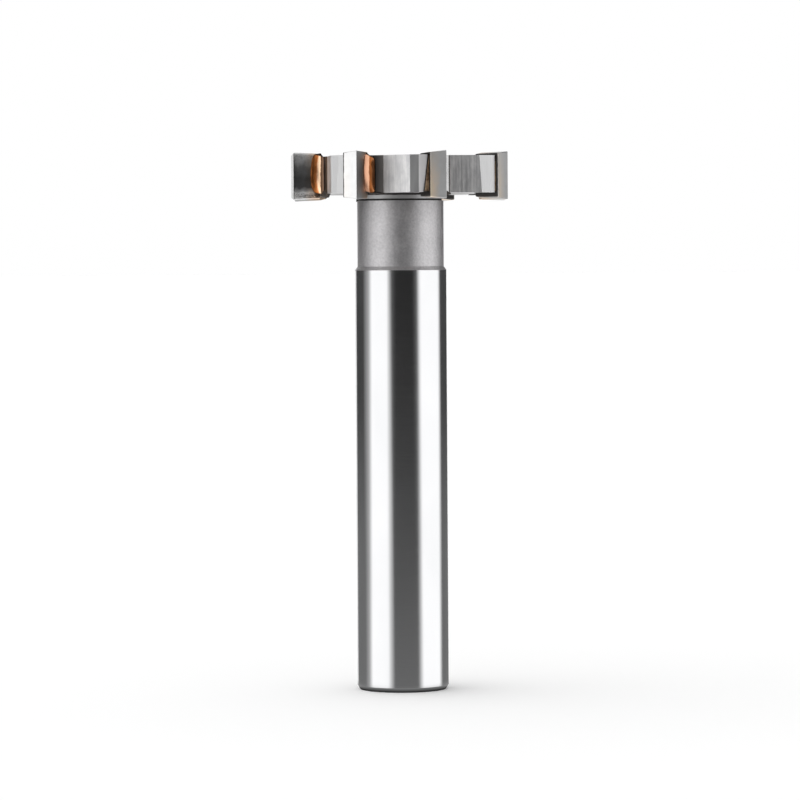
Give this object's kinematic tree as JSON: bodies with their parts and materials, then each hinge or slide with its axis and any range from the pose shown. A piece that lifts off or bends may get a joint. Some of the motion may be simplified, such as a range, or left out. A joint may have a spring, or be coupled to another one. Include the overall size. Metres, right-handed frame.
{
  "type": "t-slot cutter",
  "caption": "Right-hand T-slot milling cutter: plain round shank, slim neck and a toothed disc head with brazed carbide tips that stand proud of the steel.",
  "frame": {"origin": "centre of the shank's end face, which the cutter stands on", "axes": "+Z along the cutter's axis from the shank's end to the head; -Y faces the viewer of the picture"},
  "size_m": [0.0472, 0.0472, 0.1169],
  "materials": {
    "steel": "ground shank, blasted neck and milled head",
    "carbide": "ground, satin dark grey",
    "braze": "flowed copper braze, oxidised brown at its edges"
  },
  "bodies": {
    "root": {"body": "steel", "tip_1": "carbide", "tip_2": "carbide", "tip_3": "carbide", "tip_4": "carbide", "tip_5": "carbide", "tip_6": "carbide", "tip_7": "carbide", "tip_8": "carbide", "braze_1": "braze", "braze_2": "braze", "braze_3": "braze", "braze_4": "braze", "braze_5": "braze", "braze_6": "braze", "braze_7": "braze", "braze_8": "braze"}
  },
  "joints": []
}
